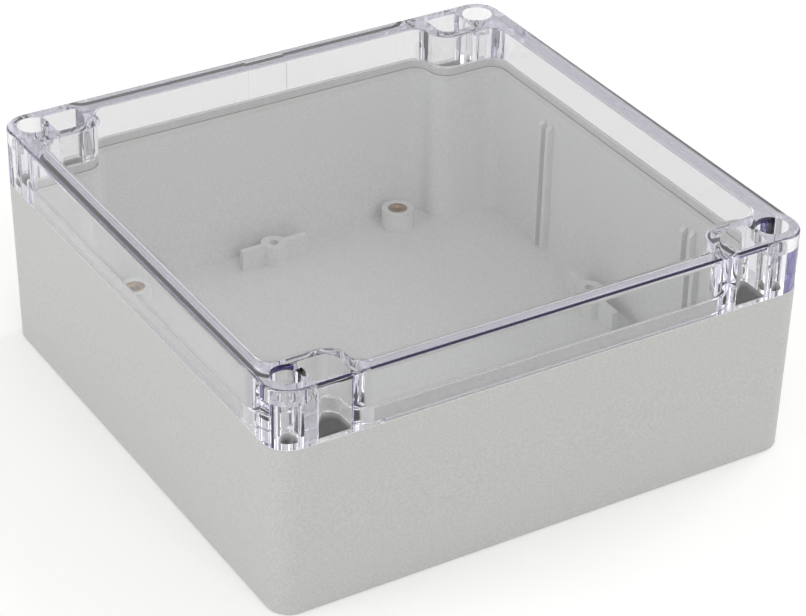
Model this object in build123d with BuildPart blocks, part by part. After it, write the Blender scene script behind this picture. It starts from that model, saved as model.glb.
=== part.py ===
# Moulded polycarbonate enclosure with a clear lift-off lid.
# Z is up, sizes are millimetres, the origin is the middle of the underside.
# Every plan outline of the seal is one loop, drawn once and offset, so that the tongue of the base,
# the slot and lips of the lid, the gasket and the cavity wall always follow each other.
from build123d import *
import math
import os

# overall box
side = 140.0
base_height = 44.5
lid_height = 15.0
corner_radius = 6.5
base_draft = 1.1
edge_round = 0.8
lid_edge_round = 0.65
seat_gap = 0.05
total_height = base_height + lid_height

# seal loop: the outer face of the base tongue
seal_inset = 2.6
notch_inset_x = 20.4
notch_inset_y = 11.75
notch_round = 3.2
branch_round = 5.8
tongue_thickness = 0.9
tongue_height = 3.4
slot_gap = 0.15
slot_inner_gap = 0.1
slot_head_room = 0.45
slot_roof_round = 0.5
slot_mouth_round = 0.4
gasket_width = 0.85
gasket_height = 1.4
gasket_side_gap = 0.03
cavity_offset = tongue_thickness + gasket_width + 0.1
cavity_draft = 0.55

# base floor and underside
floor_top = 4.0
underside_recess = 0.5
underside_border = 7.0
pad_radius = 8.0

# corner wells with the wall-mount holes
well_ledge = 0.4
well_end_inset = 10.3
well_outer_wall = 2.8
well_round = 1.0
well_floor = 5.0
mount_inset_x = 15.0
mount_inset_y = 7.0
mount_hole = 4.6

# lid screw positions
screw_inset = 6.5
screw_clearance = 4.5
screw_counterbore = 7.8
counterbore_depth = 5.0
lid_insert_diameter = 5.6
lid_insert_length = 8.0
lid_insert_bore = 3.4
lid_insert_sink = 3.0
lid_screw_hole_depth = 20.0
lid_screw_hole = 4.2
insert_gap = 0.01

# board supports on the floor
support_height = 5.4
standoff_inset_x = 32.7
standoff_inset_y = 11.3
standoff_diameter = 8.5
board_insert_diameter = 5.2
board_insert_length = 5.0
board_insert_bore = 2.5
board_insert_sink = 0.1
board_tip_hole = 3.2
board_tip_depth = 1.4
wing_inset = 11.0
wing_boss_diameter = 6.8
wing_pilot = 2.5
wing_pilot_depth = 6.6
wing_length = 19.0
wing_thickness = 1.7

# card guides on the left and right walls
guide_inset = 39.0
guide_pitch = 3.4
guide_thickness = 1.4
guide_reach = 1.7
guide_top = 40.5
guide_lead = 1.2

# lid
plate_thickness = 2.1
lid_wall_inset = 4.25
lid_ceiling_round = 0.9
pocket_wall = 0.6
pocket_outer_wall = 2.35
pocket_end_inset = 10.8
pocket_round = 3.4
pocket_small_round = 0.8
lip_bottom = base_height + gasket_height
pry_notch_inset = 26.1
pry_notch_width = 1.2
pry_notch_depth = 0.6
gate_pad_width = 11.0
gate_pad_height = 9.0
gate_pad_thickness = 0.25
gate_pad_at = 3.5

seal_half = side / 2 - seal_inset
notch_x = side / 2 - notch_inset_x
notch_y = side / 2 - notch_inset_y
branch_arc = min(branch_round, seal_half - notch_y - notch_round - 0.1)
screw_at = side / 2 - screw_inset
mount_x = side / 2 - mount_inset_x
mount_y = side / 2 - mount_inset_y
standoff_x = side / 2 - standoff_inset_x
standoff_y = side / 2 - standoff_inset_y
wing_at = side / 2 - wing_inset
guide_at = side / 2 - guide_inset
insert_top = base_height - lid_insert_sink
lid_foot = base_height + seat_gap
slot_top = base_height + tongue_height + slot_head_room
lid_underside = total_height - plate_thickness
support_top = floor_top + support_height
all_corners = [(1, 1), (-1, 1), (-1, -1), (1, -1)]

# the plan of the seal loop, a square with a stepped notch in each corner for the screw and the well
with BuildSketch() as seal_plan:
    Rectangle(2 * seal_half, 2 * seal_half)
    with Locations(*[(sx * (notch_x + 20), sy * (notch_y + 20)) for sx, sy in all_corners]):
        Rectangle(40, 40, mode=Mode.SUBTRACT)
    inner = seal_plan.vertices().filter_by(lambda v: abs(v.X) < notch_x + 0.1 and abs(v.Y) < notch_y + 0.1)
    fillet(inner, radius=notch_round)
    outer = seal_plan.vertices().filter_by(
        lambda v: (abs(v.X) > seal_half - 0.1 and abs(abs(v.Y) - notch_y) < 0.1)
        or (abs(v.Y) > seal_half - 0.1 and abs(abs(v.X) - notch_x) < 0.1)
    )
    fillet(outer, radius=branch_arc)

with BuildSketch() as tongue_inner_plan:
    add(seal_plan.sketch)
    offset(amount=-tongue_thickness, kind=Kind.ARC)

with BuildSketch() as cavity_plan:
    add(seal_plan.sketch)
    offset(amount=-cavity_offset, kind=Kind.ARC)

# the cavity is drafted, so it is narrower at the bottom
cavity_lean = (base_height - floor_top) * math.tan(math.radians(cavity_draft))

with BuildSketch() as lid_room_plan:
    add(seal_plan.sketch)
    offset(amount=-(lid_wall_inset - seal_inset), kind=Kind.ARC)

with BuildSketch() as slot_outer_plan:
    add(seal_plan.sketch)
    offset(amount=slot_gap, kind=Kind.ARC)

with BuildSketch() as slot_inner_plan:
    add(seal_plan.sketch)
    offset(amount=-(tongue_thickness + slot_inner_gap), kind=Kind.ARC)

# Enclosure base: walls, floor, wells, pillars, tongue, board supports and card guides in one moulding.
with BuildPart() as enclosure_base:
    bottom_shrink = 2 * base_height * math.tan(math.radians(base_draft))
    with BuildSketch(Plane.XY):
        RectangleRounded(side - bottom_shrink, side - bottom_shrink, corner_radius - bottom_shrink / 2)
    extrude(amount=base_height, taper=-base_draft)
    fillet(enclosure_base.faces().sort_by(Axis.Z)[0].edges(), radius=edge_round)

    with BuildSketch(Plane.XY.offset(base_height)):
        add(cavity_plan.sketch)
    with BuildSketch(Plane.XY.offset(floor_top)):
        add(seal_plan.sketch)
        offset(amount=-(cavity_offset + cavity_lean), kind=Kind.ARC)
    loft(ruled=True, mode=Mode.SUBTRACT)

    # tongue that stands above the landing of the lid
    with BuildSketch(Plane.XY.offset(base_height)):
        add(seal_plan.sketch)
        add(tongue_inner_plan.sketch, mode=Mode.SUBTRACT)
    extrude(amount=tongue_height)

    # four deep wells outside the seal, each with a wall-mount hole in its floor
    well_start_x = notch_x + well_ledge
    well_start_y = notch_y + well_ledge
    well_end = side / 2 - well_end_inset
    well_side = side / 2 - well_outer_wall
    for sx, sy in all_corners:
        with BuildSketch(Plane.XY.offset(well_floor)) as well:
            with Locations((sx * (well_start_x + well_end) / 2, sy * (well_start_y + well_side) / 2)):
                Rectangle(well_end - well_start_x, well_side - well_start_y)
            lobe = well.vertices().sort_by(lambda v: abs(v.X) + abs(v.Y))[0]
            fillet(lobe, radius=notch_round - well_ledge)
            rest = well.vertices().filter_by(
                lambda v: abs(v.X) > well_end - 0.1 or abs(v.Y) > well_side - 0.1)
            fillet(rest, radius=well_round)
        extrude(amount=base_height - well_floor, mode=Mode.SUBTRACT)
    with Locations(*[(sx * mount_x, sy * mount_y, well_floor) for sx, sy in all_corners]):
        Hole(radius=mount_hole / 2, depth=well_floor + 1)

    # shallow field in the underside, with a full-height pad round every wall-mount hole
    with BuildSketch(Plane.XY):
        RectangleRounded(side - 2 * underside_border, side - 2 * underside_border, 5)
        with Locations(*[(sx * mount_x, sy * mount_y) for sx, sy in all_corners]):
            Circle(pad_radius, mode=Mode.SUBTRACT)
    extrude(amount=underside_recess, mode=Mode.SUBTRACT)

    # standoffs and winged bosses
    with BuildSketch(Plane.XY.offset(floor_top - 0.1)):
        with Locations(*[(sx * standoff_x, sy * standoff_y) for sx, sy in all_corners]):
            Circle(standoff_diameter / 2)
        with Locations((0, wing_at), (0, -wing_at)):
            Circle(wing_boss_diameter / 2)
            Rectangle(wing_length, wing_thickness)
        with Locations((wing_at, 0), (-wing_at, 0)):
            Circle(wing_boss_diameter / 2)
            Rectangle(wing_thickness, wing_length)
    extrude(amount=support_height + 0.1)

    # card guides, two ribs to a guide
    for wall in (1, -1):
        with BuildSketch(Plane.XZ, mode=Mode.PRIVATE) as rib_side:
            with BuildLine():
                near = seal_half - cavity_offset - guide_reach
                Polyline(
                    (wall * (near + guide_reach + 1.5), floor_top - 0.1),
                    (wall * (near - 0.3), floor_top - 0.1),
                    (wall * near, guide_top - guide_lead),
                    (wall * (near + guide_lead), guide_top),
                    (wall * (near + guide_reach + 1.5), guide_top),
                    close=True,
                )
            make_face()
        rib_places = [s * guide_at + t * guide_pitch / 2 for s in (1, -1) for t in (1, -1)]
        for place in rib_places:
            with BuildSketch(Plane.XZ.offset(-place - guide_thickness / 2)):
                add(rib_side.sketch)
            extrude(amount=guide_thickness)

    # seats of the moulded-in lid inserts under a narrower lead hole, and holes for the board inserts
    with BuildSketch(Plane.XY.offset(insert_top)):
        with Locations(*[(sx * screw_at, sy * screw_at) for sx, sy in all_corners]):
            Circle(lid_insert_diameter / 2 + insert_gap)
    extrude(amount=-lid_insert_length, mode=Mode.SUBTRACT)
    with Locations(*[(sx * screw_at, sy * screw_at, base_height) for sx, sy in all_corners]):
        Hole(radius=lid_screw_hole / 2, depth=lid_screw_hole_depth)
    with Locations(*[(sx * standoff_x, sy * standoff_y, support_top) for sx, sy in all_corners]):
        Hole(radius=board_insert_diameter / 2 + insert_gap, depth=board_insert_length + board_insert_sink)
        Hole(radius=board_tip_hole / 2, depth=board_insert_length + board_tip_depth)
    with Locations((0, wing_at, support_top), (0, -wing_at, support_top), (wing_at, 0, support_top),
                   (-wing_at, 0, support_top)):
        Hole(radius=wing_pilot / 2, depth=wing_pilot_depth)

# Clear lid: plate, skirt, seal wall round the corners, screw columns and the slot for the tongue.
with BuildPart() as clear_lid:
    with BuildSketch(Plane.XY.offset(lid_foot)):
        RectangleRounded(side, side, corner_radius)
    extrude(amount=lid_height - seat_gap)
    fillet(clear_lid.faces().sort_by(Axis.Z)[-1].edges(), radius=lid_edge_round)

    with BuildSketch(Plane.XY.offset(base_height)):
        add(lid_room_plan.sketch)
    extrude(amount=lid_height - plate_thickness, mode=Mode.SUBTRACT)
    ceiling = clear_lid.faces().filter_by(Axis.Z).filter_by(
        lambda f: abs(f.center().Z - lid_underside) < 0.01)
    fillet(ceiling.edges(), radius=lid_ceiling_round)

    # slot for the tongue with a rounded roof and mouth, and the inner lip that presses the gasket
    with BuildSketch(Plane.XY.offset(base_height)):
        add(slot_outer_plan.sketch)
        add(slot_inner_plan.sketch, mode=Mode.SUBTRACT)
    extrude(amount=tongue_height + slot_head_room, mode=Mode.SUBTRACT)
    slot_roof = clear_lid.faces().filter_by(Axis.Z).filter_by(lambda f: abs(f.center().Z - slot_top) < 0.01)
    fillet(slot_roof.edges(), radius=slot_roof_round)
    with BuildSketch(Plane.XY.offset(base_height)):
        add(slot_outer_plan.sketch)
    extrude(amount=lip_bottom - base_height, mode=Mode.SUBTRACT)
    foot = clear_lid.faces().filter_by(Axis.Z).sort_by(Axis.Z)[0]
    fillet(foot.inner_wires()[0].edges(), radius=slot_mouth_round)

    # pockets over the wells, open downwards
    for sx, sy in all_corners:
        pocket_x = notch_x + slot_gap + pocket_wall
        pocket_y = notch_y + slot_gap + pocket_wall
        pocket_end = side / 2 - pocket_end_inset
        far_y = side / 2 - pocket_outer_wall
        with BuildSketch(Plane.XY.offset(base_height)) as pocket:
            with Locations((sx * (pocket_x + pocket_end) / 2, sy * (pocket_y + far_y) / 2)):
                Rectangle(pocket_end - pocket_x, far_y - pocket_y)
            lobe = pocket.vertices().sort_by(lambda v: abs(v.X) + abs(v.Y))[0]
            fillet(lobe, radius=pocket_round)
            rest = pocket.vertices().filter_by(
                lambda v: abs(v.X) > pocket_end - 0.1 or abs(v.Y) > far_y - 0.1)
            fillet(rest, radius=pocket_small_round)
        extrude(amount=lid_height - plate_thickness, mode=Mode.SUBTRACT)

    # screw columns
    with Locations(*[(sx * screw_at, sy * screw_at, total_height) for sx, sy in all_corners]):
        CounterBoreHole(
            radius=screw_clearance / 2,
            counter_bore_radius=screw_counterbore / 2,
            counter_bore_depth=counterbore_depth,
            depth=lid_height,
        )

    # small pry notch in the lower edge of the front skirt
    with BuildSketch(Plane.XY.offset(base_height)):
        with Locations((pry_notch_inset - side / 2, (pry_notch_depth - side) / 2)):
            Rectangle(pry_notch_width, pry_notch_depth)
    extrude(amount=0.9, mode=Mode.SUBTRACT)

    # gate pad, a shallow flat on the back wall
    with BuildSketch(Plane.XZ.offset(-side / 2)):
        with Locations((gate_pad_at, base_height + 2.5 + gate_pad_height / 2)):
            Rectangle(gate_pad_width, gate_pad_height)
    extrude(amount=gate_pad_thickness, mode=Mode.SUBTRACT)

# Lid gasket: one closed strip on the ledge inside the tongue.
with BuildSketch() as gasket_outer_plan:
    add(seal_plan.sketch)
    offset(amount=-(tongue_thickness + gasket_side_gap), kind=Kind.ARC)

with BuildSketch() as gasket_inner_plan:
    add(seal_plan.sketch)
    offset(amount=-(tongue_thickness + gasket_width), kind=Kind.ARC)

with BuildPart() as lid_gasket:
    with BuildSketch(Plane.XY.offset(base_height)):
        add(gasket_outer_plan.sketch)
        add(gasket_inner_plan.sketch, mode=Mode.SUBTRACT)
    extrude(amount=gasket_height)

# Threaded brass inserts: a plain bore with a chamfered mouth.
with BuildPart() as lid_insert:
    Cylinder(radius=lid_insert_diameter / 2, height=lid_insert_length,
             align=(Align.CENTER, Align.CENTER, Align.MAX))
    Cylinder(radius=lid_insert_bore / 2, height=lid_insert_length * 3, mode=Mode.SUBTRACT)
    bore_rim = lid_insert.edges().filter_by(GeomType.CIRCLE).filter_by(
        lambda e: abs(e.radius - lid_insert_bore / 2) < 0.01 and abs(e.center().Z) < 0.01)
    chamfer(bore_rim, length=0.35)

with BuildPart() as board_insert:
    Cylinder(radius=board_insert_diameter / 2, height=board_insert_length,
             align=(Align.CENTER, Align.CENTER, Align.MAX))
    Cylinder(radius=board_insert_bore / 2, height=board_insert_length * 3, mode=Mode.SUBTRACT)
    board_rim = board_insert.edges().filter_by(GeomType.CIRCLE).filter_by(
        lambda e: abs(e.radius - board_insert_bore / 2) < 0.01 and abs(e.center().Z) < 0.01)
    chamfer(board_rim, length=0.4)

os.makedirs("parts", exist_ok=True)

enclosure_base.part.label = "enclosure_base"
export_step(enclosure_base.part, "parts/enclosure_base.step")
clear_lid.part.label = "clear_lid"
export_step(clear_lid.part, "parts/clear_lid.step")
lid_gasket.part.label = "lid_gasket"
export_step(lid_gasket.part, "parts/lid_gasket.step")

corner_names = ["back_right", "back_left", "front_left", "front_right"]
for (sx, sy), corner in zip(all_corners, corner_names):
    placed = lid_insert.part.moved(Location((sx * screw_at, sy * screw_at, insert_top)))
    placed.label = "lid_insert_" + corner
    export_step(placed, "parts/lid_insert_" + corner + ".step")
    seated = board_insert.part.moved(
        Location((sx * standoff_x, sy * standoff_y, support_top - board_insert_sink)))
    seated.label = "board_insert_" + corner
    export_step(seated, "parts/board_insert_" + corner + ".step")
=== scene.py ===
import math

import bpy
from mathutils import Matrix, Vector


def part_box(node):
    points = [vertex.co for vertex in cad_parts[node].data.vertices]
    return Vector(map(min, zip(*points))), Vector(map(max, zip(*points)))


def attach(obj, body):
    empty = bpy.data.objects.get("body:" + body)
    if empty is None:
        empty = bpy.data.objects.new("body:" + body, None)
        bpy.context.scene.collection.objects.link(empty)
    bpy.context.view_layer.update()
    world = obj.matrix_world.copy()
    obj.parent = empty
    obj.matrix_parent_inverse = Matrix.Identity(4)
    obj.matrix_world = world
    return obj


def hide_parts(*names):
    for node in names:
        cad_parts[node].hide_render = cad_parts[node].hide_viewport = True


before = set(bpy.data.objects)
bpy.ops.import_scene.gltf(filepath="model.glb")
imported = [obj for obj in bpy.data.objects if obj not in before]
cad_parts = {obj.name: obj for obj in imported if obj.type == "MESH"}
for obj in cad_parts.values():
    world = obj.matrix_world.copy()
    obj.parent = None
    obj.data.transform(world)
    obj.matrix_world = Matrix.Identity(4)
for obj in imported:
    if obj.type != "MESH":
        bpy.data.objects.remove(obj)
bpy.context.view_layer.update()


# The camera stands where the photograph was taken from: its place, turn and lens come from a fit to
# the straight edges of the box, and a small roll about its own axis is part of that fit.
CAMERA_PLACE = Vector((-0.3035707, -0.4997671, 0.3837111))
CAMERA_TURN = math.radians(-31.57)
CAMERA_RISE = math.radians(31.71)
CAMERA_ROLL = math.radians(1.15)
FOCAL_PIXELS = 2833.14
PHOTO_WIDTH = 806
SENSOR_MM = 36

away = Vector((
    math.sin(CAMERA_TURN) * math.cos(CAMERA_RISE),
    -math.cos(CAMERA_TURN) * math.cos(CAMERA_RISE),
    math.sin(CAMERA_RISE),
))
level_right = Vector((0, 0, 1)).cross(away).normalized()
level_up = away.cross(level_right)
camera_right = level_right * math.cos(CAMERA_ROLL) + level_up * math.sin(CAMERA_ROLL)
camera_up = level_up * math.cos(CAMERA_ROLL) - level_right * math.sin(CAMERA_ROLL)
camera_turn = Matrix((camera_right, camera_up, away)).transposed().to_4x4()

scene = bpy.context.scene
camera_data = bpy.data.cameras.new("camera")
camera_data.sensor_width = SENSOR_MM
camera_data.lens = FOCAL_PIXELS / PHOTO_WIDTH * SENSOR_MM
camera = bpy.data.objects.new("camera", camera_data)
camera.matrix_world = Matrix.Translation(CAMERA_PLACE) @ camera_turn
scene.collection.objects.link(camera)
scene.camera = camera


# The studio: a plain white table that glows faintly, an even white surround and three soft lights, to the
# left, right and front. Light has to pass many walls of clear plastic, so rays are allowed many turns.
FLOOR_SIZE = 6.0
FLOOR_COLOUR = "#F4F4F3"
FLOOR_GLOW = 0.17
FLOOR_ROUGHNESS = 0.9
FLOOR_SHINE = 0.1
SURROUND_COLOUR = "#FFFFFF"
SURROUND_STRENGTH = 0.73
LIGHT_SIZE = 0.8
LIGHT_TARGET = Vector((0, 0, 0.02))
CLEAR_TURNS = 24
MATT_TURNS = 5


def linear(text):
    """The linear colour, with alpha, of an sRGB hex text such as #C8C8C4."""
    channels = [int(text[i:i + 2], 16) / 255 for i in (1, 3, 5)]
    return [c / 12.92 if c <= 0.04045 else ((c + 0.055) / 1.055) ** 2.4 for c in channels] + [1.0]


def add_node(tree, kind, settings=None, links=None):
    """Adds a node, sets its properties and input values, and links inputs to other nodes' outputs."""
    new = tree.nodes.new(kind)
    for name, value in (settings or {}).items():
        if isinstance(name, str) and hasattr(new, name):
            setattr(new, name, value)
        else:
            new.inputs[name].default_value = value
    for name, source in (links or {}).items():
        tree.links.new(source, new.inputs[name])
    return new


def new_material(name):
    """A node material with nothing in it but its output."""
    material = bpy.data.materials.new(name)
    material.use_nodes = True
    material.node_tree.nodes.clear()
    return material, material.node_tree, material.node_tree.nodes.new("ShaderNodeOutputMaterial")


def soft_light(name, place, watts):
    """A square area light that looks at the box."""
    data = bpy.data.lights.new(name, "AREA")
    data.shape = "SQUARE"
    data.size = LIGHT_SIZE
    data.energy = watts
    lamp = bpy.data.objects.new(name, data)
    lamp.location = place
    lamp.rotation_euler = (LIGHT_TARGET - Vector(place)).to_track_quat("-Z", "Y").to_euler()
    scene.collection.objects.link(lamp)


scene.view_settings.view_transform = "Standard"
scene.cycles.max_bounces = CLEAR_TURNS
scene.cycles.transmission_bounces = CLEAR_TURNS
scene.cycles.glossy_bounces = CLEAR_TURNS
scene.cycles.transparent_max_bounces = CLEAR_TURNS
scene.cycles.diffuse_bounces = MATT_TURNS

world = bpy.data.worlds.new("surround")
world.use_nodes = True
world.node_tree.nodes["Background"].inputs["Color"].default_value = linear(SURROUND_COLOUR)
world.node_tree.nodes["Background"].inputs["Strength"].default_value = SURROUND_STRENGTH
scene.world = world

half = FLOOR_SIZE / 2
floor_corners = [(-half, -half, 0), (half, -half, 0), (half, half, 0), (-half, half, 0)]
floor_mesh = bpy.data.meshes.new("studio_floor")
floor_mesh.from_pydata(floor_corners, [], [(0, 1, 2, 3)])
floor = bpy.data.objects.new("studio_floor", floor_mesh)
scene.collection.objects.link(floor)
material, tree, output = new_material("white_acrylic_table")
shader = add_node(tree, "ShaderNodeBsdfPrincipled", {
    "Base Color": linear(FLOOR_COLOUR), "Roughness": FLOOR_ROUGHNESS, "Specular IOR Level": FLOOR_SHINE,
    "Emission Color": linear(FLOOR_COLOUR), "Emission Strength": FLOOR_GLOW})
tree.links.new(shader.outputs[0], output.inputs["Surface"])
floor_mesh.materials.append(material)

soft_light("left_softbox", (-1.2, 0.2, 0.45), 3.9)
soft_light("right_softbox", (1.2, 0.1, 0.9), 5.2)
soft_light("front_softbox", (-0.1, -1.3, 0.9), 4.3)


# Enclosure base: the lower part of the box, open at the top, with wells and pillars in its corners.
# It is one injection moulding in light grey polycarbonate, opaque and matt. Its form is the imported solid,
# and this section dresses it.
POLYCARBONATE_IOR = 1.585
BASE_ROUGHNESS = 0.55
OUTSIDE_COLOUR = "#BDBDBB"
# Painted light: the inside and the ledge under the lid are drawn in these two lighter colours.
INSIDE_PAINTED_LIGHT = "#DFE0DE"
LEDGE_PAINTED_LIGHT = "#EEEEED"
SPECK_SHADE = "#F0F0F0"
# Painted shade: the colour that the wells and screw holes are painted towards with depth.
WELL_PAINTED_SHADE = "#161618"
SPECK_MM = 0.55
SPECK_LOW = 0.35
SPECK_HIGH = 0.65
GRAIN_MM = 0.35
GRAIN_STRENGTH = 0.35
GRAIN_HEIGHT = 0.00006
INSIDE_REACH = 0.0672
LEDGE_START = 0.0676
LEDGE_HEIGHT = 0.04445
WELL_MIDDLE = (0.05485, 0.0631, 0)
WELL_REACH = (0.00535, 0.0049, 1)
SCREW_AXIS = (0.0635, 0.0635, 0)
SCREW_REACH = 0.0029
RIM_HEIGHT = 0.0445
DARK_HEIGHT = 0.0424

# The box is the same in its four quarters, so places are read with X and Y folded onto one quarter.
material, tree, output = new_material("grey_polycarbonate_moulded")
place = add_node(tree, "ShaderNodeTexCoord")
folded = add_node(tree, "ShaderNodeVectorMath", {"operation": "ABSOLUTE"}, {0: place.outputs["Object"]})
folded_parts = add_node(tree, "ShaderNodeSeparateXYZ", {}, {0: folded.outputs[0]})

# Painted light: the inside is painted a lighter grey, so that it looks as bright as the outside, and the
# ledge under the lid lighter still, for the light that runs down the clear skirt onto it.
outmost = add_node(tree, "ShaderNodeMath", {"operation": "MAXIMUM"},
                   {0: folded_parts.outputs["X"], 1: folded_parts.outputs["Y"]})
inside = add_node(tree, "ShaderNodeMath", {"operation": "LESS_THAN", 1: INSIDE_REACH},
                  {0: outmost.outputs[0]})
past_tongue = add_node(tree, "ShaderNodeMath", {"operation": "GREATER_THAN", 1: LEDGE_START},
                       {0: outmost.outputs[0]})
above_wall = add_node(tree, "ShaderNodeMath", {"operation": "GREATER_THAN", 1: LEDGE_HEIGHT},
                      {0: folded_parts.outputs["Z"]})
on_ledge = add_node(tree, "ShaderNodeMath", {"operation": "MULTIPLY"},
                    {0: past_tongue.outputs[0], 1: above_wall.outputs[0]})
# The ledge under the lid takes its lighter colour here: painted light.
outside_with_painted_ledge = add_node(tree, "ShaderNodeMixRGB",
                 {"Color1": linear(OUTSIDE_COLOUR), "Color2": linear(LEDGE_PAINTED_LIGHT)},
                 {"Fac": on_ledge.outputs[0]})
# The inside takes its lighter colour here: painted light.
plain = add_node(tree, "ShaderNodeMixRGB", {"Color2": linear(INSIDE_PAINTED_LIGHT)},
                 {"Fac": inside.outputs[0], "Color1": outside_with_painted_ledge.outputs["Color"]})

# The mould is spark eroded, which leaves a pebbled grain and a faint speckle that take the gloss away.
# The real ones are finer than this: both are drawn as coarse as they need to show.
speck = add_node(tree, "ShaderNodeTexNoise", {"Scale": 1000 / SPECK_MM, "Detail": 2, "Roughness": 0.6},
                 {"Vector": place.outputs["Object"]})
spread = add_node(tree, "ShaderNodeMapRange", {"From Min": SPECK_LOW, "From Max": SPECK_HIGH},
                  {"Value": speck.outputs["Fac"]})
colour = add_node(tree, "ShaderNodeMixRGB", {"blend_type": "MULTIPLY", "Color2": linear(SPECK_SHADE)},
                  {"Fac": spread.outputs["Result"], "Color1": plain.outputs["Color"]})
grain = add_node(tree, "ShaderNodeTexNoise", {"Scale": 1000 / GRAIN_MM, "Detail": 2, "Roughness": 0.5},
                 {"Vector": place.outputs["Object"]})
bump = add_node(tree, "ShaderNodeBump", {"Strength": GRAIN_STRENGTH, "Distance": GRAIN_HEIGHT},
                {"Height": grain.outputs["Fac"]})

# Hardly any light comes back out of the corner wells and the screw holes, so they are painted darker
# with depth: painted shade.
to_well = add_node(tree, "ShaderNodeVectorMath", {"operation": "SUBTRACT", 1: WELL_MIDDLE},
                   {0: folded.outputs[0]})
from_middle = add_node(tree, "ShaderNodeVectorMath", {"operation": "ABSOLUTE"}, {0: to_well.outputs[0]})
past_well = add_node(tree, "ShaderNodeVectorMath", {"operation": "SUBTRACT", 1: WELL_REACH},
                     {0: from_middle.outputs[0]})
past_parts = add_node(tree, "ShaderNodeSeparateXYZ", {}, {0: past_well.outputs[0]})
past_most = add_node(tree, "ShaderNodeMath", {"operation": "MAXIMUM"},
                     {0: past_parts.outputs["X"], 1: past_parts.outputs["Y"]})
in_well = add_node(tree, "ShaderNodeMath", {"operation": "LESS_THAN", 1: 0.0}, {0: past_most.outputs[0]})
flat = add_node(tree, "ShaderNodeVectorMath", {"operation": "MULTIPLY", 1: (1, 1, 0)},
                {0: folded.outputs[0]})
to_screw = add_node(tree, "ShaderNodeVectorMath", {"operation": "DISTANCE", 1: SCREW_AXIS},
                    {0: flat.outputs[0]})
in_screw = add_node(tree, "ShaderNodeMath", {"operation": "LESS_THAN", 1: SCREW_REACH},
                    {0: to_screw.outputs["Value"]})
in_hole = add_node(tree, "ShaderNodeMath", {"operation": "MAXIMUM"},
                   {0: in_well.outputs[0], 1: in_screw.outputs[0]})
depth = add_node(tree, "ShaderNodeMapRange", {"From Min": RIM_HEIGHT, "From Max": DARK_HEIGHT},
                 {"Value": folded_parts.outputs["Z"]})
painted_shade_amount = add_node(tree, "ShaderNodeMath", {"operation": "MULTIPLY"},
                    {0: in_hole.outputs[0], 1: depth.outputs[0]})
with_painted_shade = add_node(tree, "ShaderNodeMixRGB", {"Color2": linear(WELL_PAINTED_SHADE)},
                {"Fac": painted_shade_amount.outputs[0], "Color1": colour.outputs["Color"]})
shader = add_node(tree, "ShaderNodeBsdfPrincipled", {"IOR": POLYCARBONATE_IOR, "Roughness": BASE_ROUGHNESS},
                  {"Base Color": with_painted_shade.outputs["Color"], "Normal": bump.outputs["Normal"]})
tree.links.new(shader.outputs[0], output.inputs["Surface"])
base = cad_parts["enclosure_base"]
base.data.materials.clear()
base.data.materials.append(material)


# Clear lid: the upper part of the box, which lies on the rim of the base and takes a screw in each corner.
# It is one injection moulding in clear polycarbonate from a polished mould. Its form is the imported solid,
# and this section dresses it.
CLEAR_COLOUR = "#F7F7F6"
PASS_COLOUR = "#FFFFFF"
TONER_COLOUR = "#B8B2E6"
TONER_DENSITY = 14.0
# Painted shade: the dark navy of the painted line and crescents on the lid.
PAINTED_NAVY = "#0C0630"
LINE_FRONT = -0.0694
LINE_HEIGHT = 0.05926
LINE_REACH = 0.00021
LINE_SHIFT = 0.0012
LINE_HALF = 0.0459
POCKET_MIDDLE = 0.05465
POCKET_REACH = 0.0041
RECESS_MIDDLE = (0.0635, -0.0635, 0)
RECESS_RADIUS = 0.0039
RECESS_SLACK = 0.0001
RECESS_BACK = -0.0609
RECESS_LOWEST = 0.0581

# Light that is caught in the rounded top edge of the front skirt, over the hollow parts of the lid, is
# painted as a thin navy line of painted shade: in front of LINE_FRONT, at LINE_HEIGHT, beside the room
# and the two pockets.
material, tree, output = new_material("clear_polycarbonate_polished")
place = add_node(tree, "ShaderNodeTexCoord")
parts = add_node(tree, "ShaderNodeSeparateXYZ", {}, {0: place.outputs["Object"]})
in_front = add_node(tree, "ShaderNodeMath", {"operation": "LESS_THAN", 1: LINE_FRONT},
                    {0: parts.outputs["Y"]})
on_round = add_node(tree, "ShaderNodeMath", {"operation": "COMPARE", 1: LINE_HEIGHT, 2: LINE_REACH},
                    {0: parts.outputs["Z"]})
front_round = add_node(tree, "ShaderNodeMath", {"operation": "MULTIPLY"},
                       {0: in_front.outputs[0], 1: on_round.outputs[0]})
shifted = add_node(tree, "ShaderNodeMath", {"operation": "ADD", 1: LINE_SHIFT}, {0: parts.outputs["X"]})
along = add_node(tree, "ShaderNodeMath", {"operation": "ABSOLUTE"}, {0: shifted.outputs[0]})
by_room = add_node(tree, "ShaderNodeMath", {"operation": "LESS_THAN", 1: LINE_HALF}, {0: along.outputs[0]})
by_pocket = add_node(tree, "ShaderNodeMath", {"operation": "COMPARE", 1: POCKET_MIDDLE, 2: POCKET_REACH},
                     {0: along.outputs[0]})
by_hollow = add_node(tree, "ShaderNodeMath", {"operation": "MAXIMUM"},
                     {0: by_room.outputs[0], 1: by_pocket.outputs[0]})
caught = add_node(tree, "ShaderNodeMath", {"operation": "MULTIPLY"},
                  {0: front_round.outputs[0], 1: by_hollow.outputs[0]})

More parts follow.
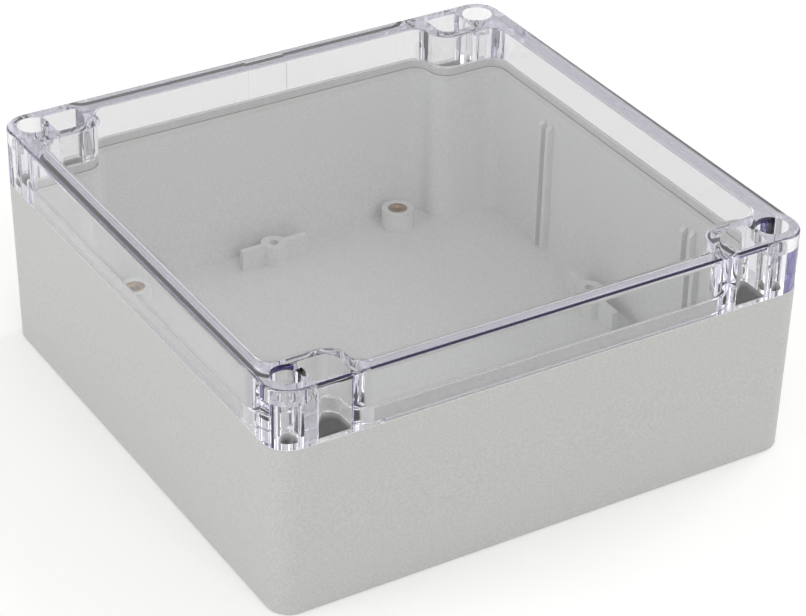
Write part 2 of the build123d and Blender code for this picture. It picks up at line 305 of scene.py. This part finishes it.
# The back of the two front screw recesses is painted the same navy, as a crescent of painted shade
# near the top.
either_side = add_node(tree, "ShaderNodeMath", {"operation": "ABSOLUTE"}, {0: parts.outputs["X"]})
plan = add_node(tree, "ShaderNodeCombineXYZ", {},
                {"X": either_side.outputs[0], "Y": parts.outputs["Y"]})
to_recess = add_node(tree, "ShaderNodeVectorMath", {"operation": "DISTANCE", 1: RECESS_MIDDLE},
                     {0: plan.outputs[0]})
on_recess = add_node(tree, "ShaderNodeMath", {"operation": "COMPARE", 1: RECESS_RADIUS, 2: RECESS_SLACK},
                     {0: to_recess.outputs["Value"]})
behind = add_node(tree, "ShaderNodeMath", {"operation": "GREATER_THAN", 1: RECESS_BACK},
                  {0: parts.outputs["Y"]})
near_top = add_node(tree, "ShaderNodeMath", {"operation": "GREATER_THAN", 1: RECESS_LOWEST},
                    {0: parts.outputs["Z"]})
back_top = add_node(tree, "ShaderNodeMath", {"operation": "MULTIPLY"},
                    {0: behind.outputs[0], 1: near_top.outputs[0]})
crescent = add_node(tree, "ShaderNodeMath", {"operation": "MULTIPLY"},
                    {0: on_recess.outputs[0], 1: back_top.outputs[0]})
navy = add_node(tree, "ShaderNodeMath", {"operation": "MAXIMUM"},
                {0: caught.outputs[0], 1: crescent.outputs[0]})

# A trace of blue-violet toner hides the yellow of the resin and shows where light runs along the plate.
# Light passes the lid unbent on its way to what lies behind it, so that the inside isn't in its shadow.
# The navy line and crescents are painted into the lid's colour here: painted shade.
with_painted_navy = add_node(tree, "ShaderNodeMixRGB", {"Color1": linear(CLEAR_COLOUR), "Color2": linear(PAINTED_NAVY)},
                {"Fac": navy.outputs[0]})
shader = add_node(tree, "ShaderNodeBsdfPrincipled",
                  {"Roughness": 0.0, "IOR": POLYCARBONATE_IOR, "Transmission Weight": 1.0},
                  {"Base Color": with_painted_navy.outputs["Color"]})
pass_light = add_node(tree, "ShaderNodeBsdfTransparent", {"Color": linear(PASS_COLOUR)})
rays = add_node(tree, "ShaderNodeLightPath")
mix = add_node(tree, "ShaderNodeMixShader", {},
               {0: rays.outputs["Is Shadow Ray"], 1: shader.outputs[0], 2: pass_light.outputs[0]})
toner = add_node(tree, "ShaderNodeVolumeAbsorption",
                 {"Color": linear(TONER_COLOUR), "Density": TONER_DENSITY})
tree.links.new(mix.outputs[0], output.inputs["Surface"])
tree.links.new(toner.outputs[0], output.inputs["Volume"])
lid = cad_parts["clear_lid"]
lid.data.materials.clear()
lid.data.materials.append(material)


# Lid gasket: a thin strip of light grey silicone rubber, extruded, soft and matt with a little dust on it.
# It lies on the ledge inside the tongue, where the inner lip of the lid presses it.
SILICONE_IOR = 1.41
GASKET_ROUGHNESS = 0.6
GASKET_COLOUR = "#D9D9D6"
DUST_COLOUR = "#CFCFCB"
DUST_MM = 1.1

material, tree, output = new_material("silicone_rubber_light_grey")
place = add_node(tree, "ShaderNodeTexCoord")
dust = add_node(tree, "ShaderNodeTexNoise", {"Scale": 1000 / DUST_MM, "Detail": 2},
                {"Vector": place.outputs["Object"]})
tone = add_node(tree, "ShaderNodeMixRGB", {"Color1": linear(GASKET_COLOUR), "Color2": linear(DUST_COLOUR)},
                {"Fac": dust.outputs["Fac"]})
shader = add_node(tree, "ShaderNodeBsdfPrincipled", {"IOR": SILICONE_IOR, "Roughness": GASKET_ROUGHNESS},
                  {"Base Color": tone.outputs[0]})
tree.links.new(shader.outputs[0], output.inputs["Surface"])
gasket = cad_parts["lid_gasket"]
gasket.data.materials.clear()
gasket.data.materials.append(material)


# Threaded inserts: turned from brass bar, knurled outside and tapped inside, and moulded or pressed into
# the grey plastic. Four M4 ones take the lid screws and four M3 ones the screws of a circuit board.
# INSERT_SIZES holds millimetres: outside radius, thread radius, depth of the thread, pitch and length.
INSERT_SIZES = {"lid_insert": (2.8, 2.0, 0.3, 0.7, 8.0), "board_insert": (2.6, 1.5, 0.25, 0.5, 5.0)}
KNURL_DEPTH = 0.00012
KNURL_COUNT = 36
END_MARGIN = 0.0004
RING_POINTS = 64
TURN_POINTS = 32
RIDGE_CORNERS = 4
BRASS_COLOUR = "#B58E52"
BRASS_SHADE = "#8F6B38"
BRASS_ROUGHNESS = 0.32
TURNING_MM = 0.4

# Turned brass is a warm yellow with faint cloudy marks from the tool, and only half glossy.
brass, tree, output = new_material("brass_turned")
place = add_node(tree, "ShaderNodeTexCoord")
marks = add_node(tree, "ShaderNodeTexNoise", {"Scale": 1000 / TURNING_MM, "Detail": 2},
                 {"Vector": place.outputs["Object"]})
tone = add_node(tree, "ShaderNodeMixRGB", {"Color1": linear(BRASS_COLOUR), "Color2": linear(BRASS_SHADE)},
                {"Fac": marks.outputs["Fac"]})
shader = add_node(tree, "ShaderNodeBsdfPrincipled", {"Metallic": 1.0, "Roughness": BRASS_ROUGHNESS},
                  {"Base Color": tone.outputs[0]})
tree.links.new(shader.outputs[0], output.inputs["Surface"])

insert_tree = bpy.data.node_groups.new("threaded_insert", "GeometryNodeTree")
for name in ("Wall Middle", "Wall Thickness", "Length", "Thread Radius", "Thread Depth", "Thread Length",
             "Thread Turns", "Thread Start", "Knurl Radius", "Knurl Length"):
    insert_tree.interface.new_socket(name, in_out="INPUT", socket_type="NodeSocketFloat")
insert_tree.interface.new_socket("Geometry", in_out="OUTPUT", socket_type="NodeSocketGeometry")
given = insert_tree.nodes.new("NodeGroupInput").outputs

# The body is a tube: the section of its wall, carried round a circle.
ring = add_node(insert_tree, "GeometryNodeCurvePrimitiveCircle", {"Resolution": RING_POINTS},
                {"Radius": given["Wall Middle"]})
wall = add_node(insert_tree, "GeometryNodeCurvePrimitiveQuadrilateral", {"mode": "RECTANGLE"},
                {"Width": given["Wall Thickness"], "Height": given["Length"]})
tube = add_node(insert_tree, "GeometryNodeCurveToMesh", {},
                {"Curve": ring.outputs[0], "Profile Curve": wall.outputs[0]})

# The thread is a ridge that climbs the bore, half sunk in its wall.
helix = add_node(insert_tree, "GeometryNodeCurveSpiral", {"Resolution": TURN_POINTS}, {
    "Rotations": given["Thread Turns"], "Start Radius": given["Thread Radius"],
    "End Radius": given["Thread Radius"], "Height": given["Thread Length"]})
upright = add_node(insert_tree, "GeometryNodeSetCurveNormal", {"mode": "Z_UP"},
                   {"Curve": helix.outputs[0]})
ridge = add_node(insert_tree, "GeometryNodeCurvePrimitiveCircle", {"Resolution": RIDGE_CORNERS},
                 {"Radius": given["Thread Depth"]})
thread = add_node(insert_tree, "GeometryNodeCurveToMesh", {"Fill Caps": True},
                  {"Curve": upright.outputs[0], "Profile Curve": ridge.outputs[0]})
down = add_node(insert_tree, "ShaderNodeCombineXYZ", {}, {"Z": given["Thread Start"]})
lowered = add_node(insert_tree, "GeometryNodeTransform", {},
                   {"Geometry": thread.outputs[0], "Translation": down.outputs[0]})

# The knurl is a ring of upright ridges on the outside.
rim = add_node(insert_tree, "GeometryNodeMeshCircle", {"Vertices": KNURL_COUNT},
               {"Radius": given["Knurl Radius"]})
tooth = add_node(insert_tree, "GeometryNodeMeshCylinder",
                 {"Vertices": RIDGE_CORNERS, "Radius": KNURL_DEPTH}, {"Depth": given["Knurl Length"]})
knurl = add_node(insert_tree, "GeometryNodeInstanceOnPoints", {},
                 {"Points": rim.outputs[0], "Instance": tooth.outputs[0]})

joined = add_node(insert_tree, "GeometryNodeJoinGeometry")
for part in (tube, lowered, knurl):
    insert_tree.links.new(part.outputs[0], joined.inputs[0])
real = add_node(insert_tree, "GeometryNodeRealizeInstances", {}, {"Geometry": joined.outputs[0]})
coated = add_node(insert_tree, "GeometryNodeSetMaterial", {"Material": brass},
                  {"Geometry": real.outputs[0]})
insert_tree.links.new(coated.outputs[0], insert_tree.nodes.new("NodeGroupOutput").inputs[0])

# Each kind of insert is made once as a plain mesh, without the empty slot that comes with it, and a copy
# of it goes to the middle of every packed insert of that kind.
for kind, sizes in INSERT_SIZES.items():
    outside, thread_radius, thread_depth, pitch, length = (size / 1000 for size in sizes)
    body_radius = outside - KNURL_DEPTH
    thread_length = length - 2 * END_MARGIN
    values = {
        "Wall Middle": (body_radius + thread_radius) / 2, "Wall Thickness": body_radius - thread_radius,
        "Length": length, "Thread Radius": thread_radius, "Thread Depth": thread_depth,
        "Thread Length": thread_length, "Thread Turns": thread_length / pitch,
        "Thread Start": -thread_length / 2, "Knurl Radius": body_radius, "Knurl Length": thread_length}
    holder = bpy.data.objects.new(kind + "_form", bpy.data.meshes.new(kind + "_form"))
    scene.collection.objects.link(holder)
    modifier = holder.modifiers.new("threaded_insert", "NODES")
    modifier.node_group = insert_tree
    for item in insert_tree.interface.items_tree:
        if item.name in values:
            modifier[item.identifier] = values[item.name]
    form = bpy.data.meshes.new_from_object(holder.evaluated_get(bpy.context.evaluated_depsgraph_get()))
    bpy.data.objects.remove(holder)
    form.materials.clear()
    form.materials.append(brass)
    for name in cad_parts:
        if name.startswith(kind):
            lowest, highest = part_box(name)
            mesh = form.copy()
            mesh.transform(Matrix.Translation((Vector(lowest) + Vector(highest)) / 2))
            insert = bpy.data.objects.new(name + "_brass", mesh)
            scene.collection.objects.link(insert)
            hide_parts(name)
            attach(insert, "base")
